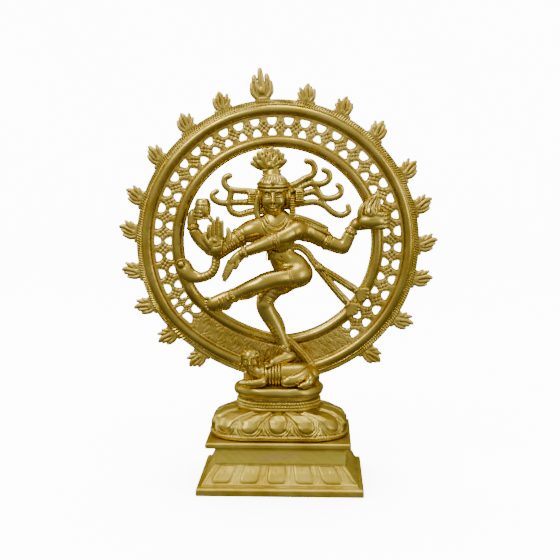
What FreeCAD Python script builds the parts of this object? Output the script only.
"""Brass nataraja statue: a stepped plinth, a lotus base and an oval platform carry a double-rolled
ring of flames, a four-armed dancing figure and the dwarf that the dancer stands on.

Millimetres.  Z is up, the statue faces -Y, and the origin is the middle of the plinth's foot.
The castings above the plinth each sit a little to its left, as their *_X values say.
"""
import FreeCAD
import Part
import math
import os

V = FreeCAD.Vector

# ---------------------------------------------------------------- driving dimensions
PLINTH_W, PLINTH_D = 153.0, 115.0        # foot of the plinth
NECK_W, NECK_D = 120.0, 84.0             # plain neck above the carved slope
FOOT_TOP, SLOPE_TOP = 9.0, 25.5          # heights where the moulded foot and the slope end
SLAB_Z, SLAB_T = 41.4, 6.0
SLAB_W, SLAB_D = 133.4, 98.3
LOTUS_Z = SLAB_Z + SLAB_T
COLLAR_Z, PLATFORM_Z, PLATFORM_TOP = 72.0, 84.0, 94.0
SLAB_X, LOTUS_X, UPPER_X = -1.8, -2.0, -2.75
WALL = 3.5                               # thickness of the hollow castings

RING_X, RING_Y, RING_Z = -4.5, 8.0, 225.5    # centre of the flame ring
EDGE_R, OUTER_ROLL_R = 132.2, 122.5      # outside of the milled edge strip, middle of the outer roll
INNER_ROLL_R, INNER_EDGE_R = 93.5, 87.5  # middle of the inner roll, inside of its edge strip
ROLL_R = 4.6
EDGE_T, PANEL_T = 4.4, 3.0               # thickness along Y of the edge strips and of the pierced band
FLAT_AT, FLAT_HALF, FLAT_SHOULDER = -153.0, 34.0, 17.0   # degrees: the flattened stretch, lower left
FLAT_DEPTH = 4.3
FLAT_REFERENCE_R = 110.0                 # radius at which the flat is that deep
HOLE_PITCH, HOLE_PAIRS = 7.917, 36
FIRST_HOLE = -137.05                     # degrees clockwise from the top
HOLE_HALF = 2.4                          # half the angle that one hole spans
OUTER_HOLE, INNER_HOLE = (109.5, 115.5), (105.5, 99.5)   # apex and base radius of each row of holes
FLAME_W, FLAME_H, FLAME_T = 16.5, 17.8, 4.6
TOP_FLAME_W, TOP_FLAME_H, TOP_FLAME_DEG = 22.0, 31.0, -5.8
FLAME_ROOT = 1.5                         # how far a flame's foot reaches into the edge strip's line
RIGHT_FLAMES = (11.6, 26.7, 42.8, 61.8, 76.3, 91.3, 105.0, 123.0, 140.8)
LEFT_FLAMES = (-22.2, -38.3, -55.4, -73.0, -86.7, -102.5, -117.0, -137.2, -148.0)

SADDLE_X, SADDLE_HALF, SADDLE_TOP = -0.5, 37.5, 106.0    # block that grips the bottom of the ring
SADDLE_D = 17.0
STUD_R, STUD_BOTTOM, STUD_BITE = 4.0, 30.0, 7.0
STUD_CLEARANCE = 0.4
WASHER_R, WASHER_T, NUT_R, NUT_T = 11.0, 2.0, 7.5, 6.0
PIN_R, PIN_SPREAD, PIN_Z = 1.8, 22.0, (88.0, 103.0)

# Routes of limbs and ornaments: (x, y, z, radius) along the middle of each.
TORSO = [(13, -9, 188, 11.5), (13, -9, 196, 15.5), (9, -9, 203, 14.5), (1, -9, 212, 11.2), (-1, -9, 219, 11.0),
         (-3, -9, 229, 15.0), (-4, -9, 238, 18.0), (-4.5, -9, 244, 16.5), (-5, -9, 249, 8.5), (-5.5, -10, 255, 6.4)]
STANDING_LEG = [(6, -9, 193, 9.5), (-3, -8, 187, 9.2), (-11, -8, 179, 8.6), (-15.5, -9, 170, 7.8),
                (-12.5, -8, 161, 8.0), (-6.5, -7, 150, 7.0), (-2, -7, 141, 5.8), (2, -7, 131, 4.8),
                (4, -7, 124, 4.8)]
STANDING_FOOT = [(9, -6, 120, 4.6), (4, -9, 119, 5.0), (-3, -13, 117, 4.2), (-10, -17, 114.5, 3.2),
                 (-13, -19, 113.5, 2.4)]
RAISED_LEG = [(20, -11, 196, 10.0), (9, -16, 195.5, 9.2), (0, -22, 195, 8.4), (-10, -26, 193.5, 8.2),
              (-18, -28, 190.5, 7.8), (-28, -28, 187, 6.6), (-38, -26, 182, 6.0), (-46, -25, 178, 6.2)]
RAISED_FOOT = [(-46, -25, 177.5, 6.2), (-52, -25, 174, 7.6), (-58, -25, 171, 7.2), (-64, -25, 170, 5.6),
               (-67.5, -25, 170.5, 3.2)]
CROSSING_ARM = [(16, -12, 238, 8.6), (9, -17, 235, 8.6), (1, -22, 231.5, 8.0), (-9, -26, 228, 7.2),
                (-19, -28, 224.5, 6.2), (-29, -29, 221, 5.2), (-35.5, -29, 218, 4.3)]
CROSSING_HAND = [(-36, -29, 217.5, 4.2), (-41, -29, 212.5, 4.6), (-46, -28, 206.5, 4.6), (-50, -28, 200, 3.8),
                 (-52.5, -27, 194, 2.4)]
BLESSING_ARM = [(-22, -9, 240, 9.0), (-32, -10, 235.5, 8.6), (-42, -12, 229, 8.0), (-50, -15, 223.5, 7.4),
                (-56, -18, 219.5, 6.2)]
BLESSING_HAND = [(-59, -20, 218.5, 5.6), (-60, -22, 226, 7.6), (-60, -23, 234, 7.8), (-60, -23, 241, 6.8),
                 (-59.5, -23, 248, 4.8), (-59, -23, 253, 2.4)]
DRUM_ARM = [(-26, -2, 238, 7.6), (-40, -1, 230.5, 7.4), (-53, -1, 222.5, 6.8), (-64, -1, 220, 6.4),
            (-73, -1, 225.5, 6.0), (-80, -1, 234, 5.4), (-83, -1, 244, 5.0), (-82, -1, 253, 4.4)]
FIRE_ARM = [(16, -6, 241, 8.6), (27, -5, 235, 8.2), (38, -4, 229, 7.4), (48, -4, 224.5, 6.8),
            (56.5, -4, 222.5, 6.2), (61.5, -4, 231.5, 5.8), (66, -5, 240.5, 4.8)]
FIRE_HAND = [(67, -5, 241.5, 5.0), (72, -4.5, 246, 6.4), (80, -3, 247, 6.8), (89, -1.5, 247, 5.6), (95, -1, 250, 3.4)]
HEAD = [(-7, -12, 252.5, 4.5), (-7, -12.5, 256, 8.6), (-7, -12, 262, 11.2), (-7, -11.5, 270, 12.6),
        (-7, -11, 278, 12.2), (-7, -11, 284, 9.8), (-7.5, -11, 288, 8.6)]
LEFT_HAIR = [
    [(-17, -6, 271, 3.4), (-28, -6, 273, 3.0), (-40, -6, 274, 2.6), (-47.5, -6, 275, 2.6), (-52.5, -6, 280, 2.6),
     (-52, -6, 285.5, 2.5), (-48, -6, 287.5, 2.3)],
    [(-17, -6, 264, 3.2), (-30, -6, 263.5, 2.8), (-44, -6, 263, 2.6), (-55, -6, 262.5, 2.6),
     (-62.5, -6, 266, 2.5), (-63.5, -6, 270.5, 2.5), (-59.5, -6, 273.5, 2.3)],
    [(-17, -6, 256, 3.2), (-29, -6, 254.5, 2.8), (-39, -6, 252, 2.6), (-46.5, -6, 255, 2.6), (-48.5, -6, 262, 2.6),
     (-47, -6, 269, 2.6), (-46, -6, 275, 2.4)],
]
RIGHT_HAIR = [
    [(3, -6, 276, 3.2), (13, -6, 280, 2.8), (21, -6, 285, 2.6), (28, -6, 288, 2.6), (30.5, -6, 294, 2.6),
     (28, -6, 299.5, 2.5), (23, -6, 301, 2.3)],
    [(3, -6, 272, 3.0), (15, -6, 276, 2.6), (26, -6, 280.5, 2.6), (36, -6, 280, 2.6), (43, -6, 284, 2.6),
     (43.5, -6, 290, 2.5), (38.5, -6, 293, 2.3)],
    [(3, -6, 267, 3.0), (20, -6, 271, 2.6), (30, -6, 273, 2.6), (37, -6, 268, 2.6), (45, -6, 267, 2.6),
     (53, -6, 270, 2.6), (54.5, -6, 276, 2.5), (51.5, -6, 279, 2.3)],
    [(3, -6, 260, 3.0), (19, -6, 262.5, 2.6), (31, -6, 263.5, 2.6), (40, -6, 260, 2.6), (47, -6, 254, 2.6),
     (55, -6, 251.5, 2.6), (61.5, -6, 255, 2.5), (61, -6, 260, 2.2)],
    [(26, -6, 284, 2.2), (31, -6, 278, 2.4), (35.5, -6, 270, 2.4), (39, -6, 262, 2.2)],
]
SNAKE = [(-60, -5, 219, 4.2), (-60.5, -7, 212, 4.2), (-61.5, -8, 204, 4.4), (-66, -8, 197, 4.6),
         (-75, -7, 193.5, 5.0), (-84, -5, 193.5, 6.0), (-90, -3, 198, 7.4), (-93, -2, 205, 7.4)]
SASH = [
    [(6, -12, 222.5, 3.4), (16, -10, 222.5, 3.4), (24, -9, 217, 3.4), (29, -8, 209.5, 3.4), (35, -7, 203, 4.6)],
    [(34, -7, 203.5, 4.0), (46, -5, 196.5, 4.2), (58, -4, 189, 4.4), (67, -2, 183, 5.0), (75, -1, 178, 6.2)],
    [(34, -7, 202.5, 3.6), (43, -6, 191, 3.8), (53, -4, 179, 4.2), (59, -2, 172, 4.8), (65, -1, 164.5, 6.2)],
]
SHAWL = [(15, -10, 250, 2.6), (24, -8, 246.5, 3.0), (33, -6, 243, 3.0), (41, -5, 240, 2.6)]
LEFT_DROP = [(-22, -10, 267, 2.2), (-23.5, -10, 259, 2.8), (-23, -10, 250.5, 2.4)]
RIGHT_DROP = [(8.6, -10, 267, 2.2), (10.5, -10, 259, 3.4), (10.0, -10, 252.5, 3.0)]
DWARF_BODY = [(-28, -18, 115, 4.6), (-26, -17, 109, 6.0), (-20, -14, 104, 8.0), (-11, -13, 103.5, 10.4),
              (-2, -12, 103.5, 11.2), (8, -11, 103.5, 10.8), (18, -9, 103.5, 10.6), (28, -7, 102.5, 8.4)]
LEG_WEB = [(4, -6, 138, 3.2), (11, -2, 130, 3.6), (20, 2, 120, 4.0), (28, 5, 108, 4.4)]
DWARF_ARM = [(-17, -20, 103, 4.0), (-17, -26, 98.5, 3.8), (-25, -28, 97.5, 4.0), (-34, -27, 97.5, 3.4)]
DWARF_LEG = [(24, -14, 106, 5.4), (18, -21, 102.5, 5.6), (10, -25, 99.5, 5.6), (5, -26, 99, 4.6)]
DWARF_SHIN = [(26, -20, 103, 4.0), (26, -26, 99, 3.6), (25, -28, 97.2, 3.4)]
DWARF_HEAD = (-28.5, -20, 119.0, 9.0)
# Bands round a limb: the band's middle, its radius, and the direction that the limb runs in.
CROSSING_ARMLET, FIRE_ARMLET = ((1, -22, 231.5), 8.2, (-8, -4, -3)), ((44, -4, 226.3), 7.2, (10, 0, -4.5))
CROSSING_BRACELET, FIRE_BRACELET = ((-34, -29, 218.8), 4.8, (-6.5, 0, -3.5)), ((64, -4.6, 236.5), 5.5, (4.5, -1, 9))
ANKLET, RAISED_ANKLET = ((2.3, -7, 129.5), 4.9, (2, 0, -7)), ((-44, -25.2, 179), 6.2, (-8, 1, -4))
THIGH_BAND, KNEE_BAND = ((4, -19.3, 195.2), 9.0, (-9, -6, -0.5)), ((-13.5, -8.5, 174.5), 8.4, (-4.5, -1, -9))
NECKLACE = ((-4.8, -10.5, 245), 12.5, (0.0, -0.55, 1.0))


# ---------------------------------------------------------------- helpers
def save(name, shape):
    """Writes one node, after checking that every solid in it is sound."""
    solids = shape.Solids
    shape = solids[0] if len(solids) == 1 else Part.makeCompound(solids)
    good = bool(solids) and all(s.isValid() and s.Volume > 0 for s in solids)
    print(f"{name:20s} solids {len(solids):3d}  volume {shape.Volume / 1000:8.2f} cm3  {'ok' if good else 'BAD'}")
    shape.exportStep(f"parts/{name}.step")
    return shape


def rounded_rect(half_x, half_y, z, radius, x0):
    """Closed wire of four straight sides and four arcs, level at z."""
    corners = []
    for sx, sy, start in ((1, -1, -90), (1, 1, 0), (-1, 1, 90), (-1, -1, 180)):
        cx, cy = x0 + sx * (half_x - radius), sy * (half_y - radius)
        corners.append([V(cx + radius * math.cos(math.radians(start + a)),
                          cy + radius * math.sin(math.radians(start + a)), z) for a in (0, 45, 90)])
    wire = []
    for corner, following in zip(corners, corners[1:] + corners[:1]):
        wire.append(Part.Arc(*corner).toShape())
        wire.append(Part.LineSegment(corner[2], following[0]).toShape())
    return Part.Wire(wire)


def rectangle(half_x, half_y, z):
    points = [V(sx * half_x, sy * half_y, z) for sx, sy in ((-1, -1), (1, -1), (1, 1), (-1, 1))]
    return Part.makePolygon(points + points[:1])


def stack(wires):
    """Solid with straight walls from each level outline to the next."""
    return Part.makeLoft(wires, True, True)


def rounded_stack(rows, x0):
    """Rows are (half_x, half_y, z, corner radius)."""
    return stack([rounded_rect(half_x, half_y, z, radius, x0) for half_x, half_y, z, radius in rows])


def upright(radius, z0, z1, x=UPPER_X, y=0.0):
    return Part.makeCylinder(radius, z1 - z0, V(x, y, z0))


def limb(route, flatten=1.0, sides=12):
    """Solid skin over round sections along a route; flatten scales a section along Y."""
    centres = [V(*point[:3]) for point in route]
    wires = []
    for i, point in enumerate(route):
        along = (centres[min(i + 1, len(route) - 1)] - centres[max(i - 1, 0)]).normalize()
        across = (V(0, 1, 0) - along * along.y).normalize()
        third = along.cross(across)
        outline = []
        for k in range(sides):
            a = 2 * math.pi * k / sides
            outline.append(centres[i] + across * (point[3] * flatten * math.cos(a)) + third * (point[3] * math.sin(a)))
        curve = Part.BSplineCurve()
        curve.interpolate(Points=outline, PeriodicFlag=True)
        wires.append(Part.Wire([curve.toShape()]))
    return Part.makeLoft(wires, True, True)


def strands(routes):
    """Tubes that run into each other, made one."""
    tubes = [limb(route, sides=8) for route in routes]
    return tubes[0].multiFuse(tubes[1:])


def cut(shape, *tools):
    """Shape with the tools taken away, one by one."""
    for tool in tools:
        shape = shape.cut(tool)
    return shape


def trimmed(shape, *neighbours):
    """What is left of a shape outside its neighbours, as its largest piece."""
    return max(cut(shape, *neighbours).Solids, key=lambda solid: solid.Volume)


def trimmed_all(shape, least, *neighbours):
    """What is left of a shape outside its neighbours, without crumbs under least mm3."""
    return Part.makeCompound([solid for solid in cut(shape, *neighbours).Solids if solid.Volume > least])


def bangle(place, thick=1.0):
    """Ring round a limb."""
    middle, radius, along = place
    return Part.makeTorus(radius, thick, V(*middle), V(*along))


# ---------------------------------------------------------------- ring geometry
def outward(degrees):
    """Unit vector in the ring's plane, degrees clockwise from the top."""
    return V(math.sin(math.radians(degrees)), 0, math.cos(math.radians(degrees)))


def flat_radii():
    """Radii of the shoulder arcs and of the flat's own arc, at the reference radius."""
    a, b = math.radians(FLAT_HALF), math.radians(FLAT_HALF - FLAT_SHOULDER)
    across_1, across_2 = math.sin(a) - math.sin(b), math.sin(b)
    rise_1, rise_2 = math.cos(b) - math.cos(a), 1 - math.cos(b)
    width = FLAT_REFERENCE_R * math.sin(a)
    rise = FLAT_REFERENCE_R * (1 - math.cos(a)) - FLAT_DEPTH
    det = across_1 * rise_2 - across_2 * rise_1
    return (width * rise_2 - across_2 * rise) / det, (across_1 * rise - width * rise_1) / det


def ring_arcs(radius):
    """The ring's outline at a radius, as (centre, radius, first degree, last degree): one round, three flattened."""
    middle = V(RING_X, RING_Y, RING_Z)
    shoulder, flat = flat_radii()
    grow = radius - FLAT_REFERENCE_R
    low, high = FLAT_AT - FLAT_HALF, FLAT_AT + FLAT_HALF
    inner_low, inner_high = low + FLAT_SHOULDER, high - FLAT_SHOULDER
    first = middle + outward(low) * (FLAT_REFERENCE_R - shoulder)
    last = middle + outward(high) * (FLAT_REFERENCE_R - shoulder)
    centre = first + outward(inner_low) * (shoulder - flat)
    return [(first, shoulder + grow, low, inner_low), (centre, flat + grow, inner_low, inner_high),
            (last, shoulder + grow, inner_high, high), (middle, radius, high, low + 360)]


def ring_place(degrees, radius):
    """Point on the ring's outline where it faces outward at the given angle."""
    for centre, arc_radius, first, last in ring_arcs(radius):
        for turn in (0, -360, 360):
            if first <= degrees + turn <= last:
                return centre + outward(degrees) * arc_radius
    raise ValueError(degrees)


def ring_disc(radius, thick):
    """Plate with the ring's outline, centred on its middle plane."""
    edges = []
    for centre, arc_radius, first, last in ring_arcs(radius):
        points = [centre + outward(a) * arc_radius for a in (first, (first + last) / 2, last)]
        edges.append(Part.Arc(*points).toShape())
    plate = Part.Face(Part.Wire(edges)).extrude(V(0, thick, 0))
    plate.translate(V(0, -thick / 2, 0))
    return plate


def roll(radius):
    """Round bar bent along the ring's outline."""
    pieces = []
    for centre, arc_radius, first, last in ring_arcs(radius):
        start = centre + outward(first) * arc_radius
        across = V(math.cos(math.radians(first)), 0, -math.sin(math.radians(first)))
        section = Part.Face(Part.Wire([Part.makeCircle(ROLL_R, start, across)]))
        pieces.append(section.revolve(centre, V(0, 1, 0), last - first))
    return pieces[0].multiFuse(pieces[1:]).removeSplitter()


def ring_sector(start, end):
    """Flat band between the two rolls, from one angle to another."""
    full = cut(ring_disc(OUTER_ROLL_R - 2, PANEL_T), ring_disc(INNER_ROLL_R + 2, PANEL_T + 2))
    steps = max(2, int((end - start) / 60) + 1)
    points = [V(RING_X, 0, RING_Z)]
    points += [ring_place(start + (end - start) * k / steps, EDGE_R * 2) for k in range(steps + 1)]
    for point in points:
        point.y = RING_Y - PANEL_T
    wedge = Part.Face(Part.makePolygon(points + points[:1])).extrude(V(0, 2 * PANEL_T, 0))
    return cut(full.common(wedge), roll(OUTER_ROLL_R), roll(INNER_ROLL_R))


# ---------------------------------------------------------------- base castings
def plinth():
    half_w, half_d, neck_w, neck_d = PLINTH_W / 2, PLINTH_D / 2, NECK_W / 2, NECK_D / 2
    inner_w, inner_d = neck_w - WALL, neck_d - WALL
    outside = stack([rectangle(half_w, half_d, 0.0), rectangle(half_w, half_d, 4.0),
                     rectangle(half_w - 3, half_d - 3, 6.0), rectangle(half_w - 4.5, half_d - 4.5, FOOT_TOP),
                     rectangle(neck_w + 5, neck_d + 5, 19.0), rectangle(neck_w, neck_d, SLOPE_TOP),
                     rectangle(neck_w, neck_d, SLAB_Z)])
    inside = stack([rectangle(half_w - 4.5 - WALL, half_d - 4.5 - WALL, -1.0),
                    rectangle(half_w - 4.5 - WALL, half_d - 4.5 - WALL, FOOT_TOP - 3),
                    rectangle(inner_w, inner_d, SLOPE_TOP - 2), rectangle(inner_w, inner_d, SLAB_Z - WALL)])
    return cut(outside, inside, upright(STUD_R + STUD_CLEARANCE, STUD_BOTTOM, SLAB_Z + 1))


def slab():
    body = Part.makeBox(SLAB_W, SLAB_D, SLAB_T, V(SLAB_X - SLAB_W / 2, -SLAB_D / 2, SLAB_Z))
    body = body.makeChamfer(0.8, body.Edges)
    return cut(body, upright(STUD_R + STUD_CLEARANCE, SLAB_Z - 1, LOTUS_Z + 1))


def lotus():
    rows = [(63.5, 44.5, LOTUS_Z, 34), (65.5, 46.5, 50.5, 36), (65.5, 46.5, 54.5, 36), (64.0, 45.0, 60.0, 35),
            (60.0, 42.0, 66.0, 34), (52.0, 38.0, 70.0, 33), (41.0, 33.0, COLLAR_Z, 31)]
    hollow = [(56.0, 37.0, LOTUS_Z - 1, 30), (58.0, 39.0, 56.0, 31), (52.0, 35.0, 64.0, 28), (40.0, 29.0, 67.5, 25)]
    return cut(rounded_stack(rows, LOTUS_X), rounded_stack(hollow, LOTUS_X),
               upright(STUD_R + STUD_CLEARANCE, 60, COLLAR_Z + 1))


def collar():
    rows = [(39.0, 31.0, COLLAR_Z, 29), (40.0, 32.0, 73.5, 30), (39.0, 31.0, 75.0, 29), (39.0, 31.0, 80.5, 29),
            (37.0, 29.0, 81.5, 27), (37.0, 29.0, PLATFORM_Z, 27)]
    return cut(rounded_stack(rows, UPPER_X), upright(STUD_R + STUD_CLEARANCE, COLLAR_Z - 1, PLATFORM_Z + 1))


def platform():
    rows = [(38.5, 29.5, PLATFORM_Z, 28), (41.8, 32.4, 86.0, 30), (42.5, 33.0, 89.0, 31), (42.0, 32.6, 91.5, 31),
            (39.6, 30.6, PLATFORM_TOP, 29)]
    return cut(rounded_stack(rows, UPPER_X), upright(STUD_R, PLATFORM_Z - 1, PLATFORM_Z + STUD_BITE), *ring_pins())


def nut():
    points = [V(UPPER_X + NUT_R * math.cos(math.radians(a)), NUT_R * math.sin(math.radians(a)), 0)
              for a in range(0, 361, 60)]
    body = Part.Face(Part.makePolygon(points)).extrude(V(0, 0, NUT_T))
    body.translate(V(0, 0, SLAB_Z - WALL - WASHER_T - NUT_T))
    return cut(body, upright(STUD_R, STUD_BOTTOM - 5, SLAB_Z))


def washer():
    top = SLAB_Z - WALL
    return cut(upright(WASHER_R, top - WASHER_T, top), upright(STUD_R + STUD_CLEARANCE, STUD_BOTTOM, SLAB_Z))


def ring_pins():
    """Two upright pins, from the platform through the saddle into the ring."""
    return [upright(PIN_R, *PIN_Z, RING_X + side * PIN_SPREAD, RING_Y) for side in (-1, 1)]


def saddle(ring):
    """Socket block behind the dwarf that the bottom of the ring stands in."""
    block = Part.makeBox(2 * SADDLE_HALF, SADDLE_D, SADDLE_TOP - PLATFORM_TOP,
                         V(SADDLE_X - SADDLE_HALF, RING_Y - SADDLE_D / 2, PLATFORM_TOP))
    block = block.makeFillet(4.0, [edge for edge in block.Edges if edge.BoundBox.ZLength > 5])
    return trimmed(block, ring, *ring_pins())


# ---------------------------------------------------------------- flame ring
def ring_outer():
    strip = cut(ring_disc(EDGE_R, EDGE_T), ring_disc(OUTER_ROLL_R, EDGE_T + 2))
    return cut(roll(OUTER_ROLL_R).fuse(strip), *ring_pins())


def ring_inner():
    strip = cut(ring_disc(INNER_ROLL_R, EDGE_T), ring_disc(INNER_EDGE_R, EDGE_T + 2))
    return roll(INNER_ROLL_R).fuse(strip)


def hole(degrees, apex, base):
    """Three-cornered hole tool, its apex towards the middle of the band."""
    points = [ring_place(degrees, apex), ring_place(degrees + HOLE_HALF, base), ring_place(degrees - HOLE_HALF, base)]
    for point in points:
        point.y = RING_Y - PANEL_T
    return Part.Face(Part.makePolygon(points + points[:1])).extrude(V(0, 2 * PANEL_T, 0))


def ring_lattice():
    angles = [FIRST_HOLE + k * HOLE_PITCH for k in range(HOLE_PAIRS)]
    body = ring_sector(angles[0] - HOLE_PITCH / 2, angles[-1] + HOLE_PITCH / 2)
    return body.cut(Part.makeCompound([hole(a, *row) for a in angles for row in (OUTER_HOLE, INNER_HOLE)]))


def ring_apron():
    last = FIRST_HOLE + (HOLE_PAIRS - 1) * HOLE_PITCH
    return ring_sector(last + HOLE_PITCH / 2, 360 + FIRST_HOLE - HOLE_PITCH / 2)


def flame(width, height, degrees):
    """Flat leaf of fire with five tongues, standing on the ring's edge."""
    half = width / 2
    right = [(half * 0.62, -FLAME_ROOT), (half * 0.95, height * 0.26), (half, height * 0.60),
             (half * 0.72, height * 0.52), (half * 0.55, height * 0.85), (half * 0.28, height * 0.72)]
    outline = right + [(0.0, height)] + [(-x, z) for x, z in reversed(right)]
    points = [V(RING_X + x, RING_Y - FLAME_T / 2, RING_Z + EDGE_R + z) for x, z in outline]
    leaf = Part.Face(Part.makePolygon(points + points[:1])).extrude(V(0, FLAME_T, 0))
    middle = V(RING_X, RING_Y, RING_Z)
    leaf.rotate(middle, V(0, 1, 0), degrees)
    leaf.translate(ring_place(degrees, EDGE_R) - middle - outward(degrees) * EDGE_R)
    return leaf


def flames(angles, edge):
    return Part.makeCompound([trimmed(flame(FLAME_W, FLAME_H, a), edge) for a in angles])


# ---------------------------------------------------------------- ornaments
def crown():
    """Neck band and a fan of feathers that reaches up in front of the inner roll."""
    outline = [(-19.5, 287.5), (-19.5, 292.5), (-28.5, 299.0), (-26.0, 309.0), (-17.5, 317.0), (-6.0, 316.5),
               (1.5, 309.0), (3.5, 299.0), (-0.5, 292.5), (1.0, 287.5)]
    points = [V(x, -14, z) for x, z in outline]
    return Part.Face(Part.makePolygon(points + points[:1])).extrude(V(0, 9, 0))


def drum():
    """Barrel with a slight swell at its middle."""
    lower = Part.makeCone(6.8, 7.8, 9, V(-73, -3, 247))
    return lower.fuse(Part.makeCone(7.8, 6.6, 11, V(-73, -3, 256)))


def fire_bowl():
    """Shallow cup with a leaf of fire standing in it."""
    cup = Part.makeCone(5.0, 9.0, 5, V(82, -9, 251.5))
    leaf = Part.makeCone(7.4, 6.4, 6, V(82, -9, 256.5)).fuse(Part.makeCone(6.4, 1.0, 11, V(82, -9, 262.5)))
    return cup.fuse(leaf)


# ---------------------------------------------------------------- assembly
def base_nodes():
    save("plinth", plinth())
    save("top_slab", slab())
    save("lotus_base", lotus())
    save("beaded_collar", collar())
    save("clamp_stud", upright(STUD_R, STUD_BOTTOM, PLATFORM_Z + STUD_BITE))
    save("stud_washer", washer())
    save("stud_nut", nut())
    save("ring_pins", Part.makeCompound(ring_pins()))


def ring_nodes():
    outer = save("ring_outer_roll", ring_outer())
    inner = save("ring_inner_roll", ring_inner())
    save("ring_lattice", ring_lattice())
    apron = save("ring_apron", ring_apron())
    save("top_flame", trimmed(flame(TOP_FLAME_W, TOP_FLAME_H, TOP_FLAME_DEG), outer))
    save("right_flames", flames(RIGHT_FLAMES, outer))
    save("left_flames", flames(LEFT_FLAMES, outer))
    seat = save("ring_saddle", saddle(outer))
    top = save("dwarf_platform", cut(platform(), outer))
    return inner, outer, apron, seat, top


def dancer_nodes(ring):
    """Each piece is trimmed by the ones that it is brazed to."""
    body = save("torso", limb(TORSO, flatten=0.66))
    leg = save("standing_leg", trimmed(limb(STANDING_LEG), body, ring))
    foot = save("standing_foot", trimmed(limb(STANDING_FOOT, flatten=0.8), leg))
    raised = save("raised_leg", trimmed(limb(RAISED_LEG), body, leg))
    save("raised_foot", trimmed(limb(RAISED_FOOT, flatten=0.7), raised))
    head = save("head", trimmed(limb(HEAD, flatten=0.94), body))
    save("feather_crown", trimmed(crown(), head, ring))
    crossing = save("crossing_arm", trimmed(limb(CROSSING_ARM), body))
    save("crossing_hand", trimmed(limb(CROSSING_HAND), crossing))
    blessing = save("blessing_arm", trimmed(limb(BLESSING_ARM), body))
    palm = save("blessing_hand", trimmed(limb(BLESSING_HAND, flatten=0.55), blessing))
    drum_arm = save("drum_arm", trimmed(limb(DRUM_ARM), body, blessing, palm))
    fire_arm = save("fire_arm", trimmed(limb(FIRE_ARM), body, crossing))
    fire_hand = save("fire_hand", trimmed(limb(FIRE_HAND, flatten=0.9), fire_arm, ring))
    save("hand_drum", trimmed(drum(), drum_arm))
    save("fire_bowl", trimmed(fire_bowl(), fire_hand, ring))
    left_drop = trimmed(limb(LEFT_DROP, sides=8), head, body)
    right_drop = trimmed(limb(RIGHT_DROP, sides=8), head, body)
    save("ear_ornaments", Part.makeCompound([left_drop, right_drop]))
    save("left_hair", trimmed_all(strands(LEFT_HAIR), 20, head, left_drop, body, drum_arm))
    save("right_hair", trimmed_all(strands(RIGHT_HAIR), 20, head, right_drop, body))
    save("snake", trimmed(limb(SNAKE), drum_arm, blessing, palm, ring))
    save("sash", trimmed(strands(SASH), body, crossing, raised, ring))
    shawl = save("shoulder_shawl", trimmed(limb(SHAWL, flatten=1.6), body, fire_arm, crossing, head, right_drop))
    necklace = save("necklace", trimmed(bangle(NECKLACE, 1.3), body, crossing, blessing, fire_arm, head, shawl))
    limbs = (body, leg, foot, raised, crossing, fire_arm, necklace)
    bands = {"armlets": (CROSSING_ARMLET, FIRE_ARMLET), "bracelets": (CROSSING_BRACELET, FIRE_BRACELET),
             "anklets": (ANKLET, RAISED_ANKLET), "leg_bands": (THIGH_BAND, KNEE_BAND)}
    rings = {name: save(name, Part.makeCompound([trimmed(bangle(place), *limbs) for place in places]))
             for name, places in bands.items()}
    return leg, foot, rings["anklets"]


def dwarf_nodes(top, seat, leg, foot, anklets, inner, outer, apron):
    """The dwarf, trimmed by the foot that stands on it, and the web behind the dancer's ankle."""
    body = save("dwarf_body", trimmed(limb(DWARF_BODY), top, foot, leg, seat, outer))
    x, y, z, radius = DWARF_HEAD
    head = save("dwarf_head", trimmed(Part.makeSphere(radius, V(x, y, z)), body, seat, outer))
    save("leg_web", trimmed(limb(LEG_WEB), leg, foot, anklets, body, inner, outer, apron, seat))
    arm = save("dwarf_arm", trimmed(limb(DWARF_ARM), body, top, head))
    thigh = save("dwarf_leg", trimmed(limb(DWARF_LEG), body, top, foot, arm))
    save("dwarf_shin", trimmed(limb(DWARF_SHIN), body, top, thigh))


def main():
    os.makedirs("parts", exist_ok=True)
    base_nodes()
    inner, outer, apron, seat, top = ring_nodes()
    leg, foot, anklets = dancer_nodes(inner)
    dwarf_nodes(top, seat, leg, foot, anklets, inner, outer, apron)


main()
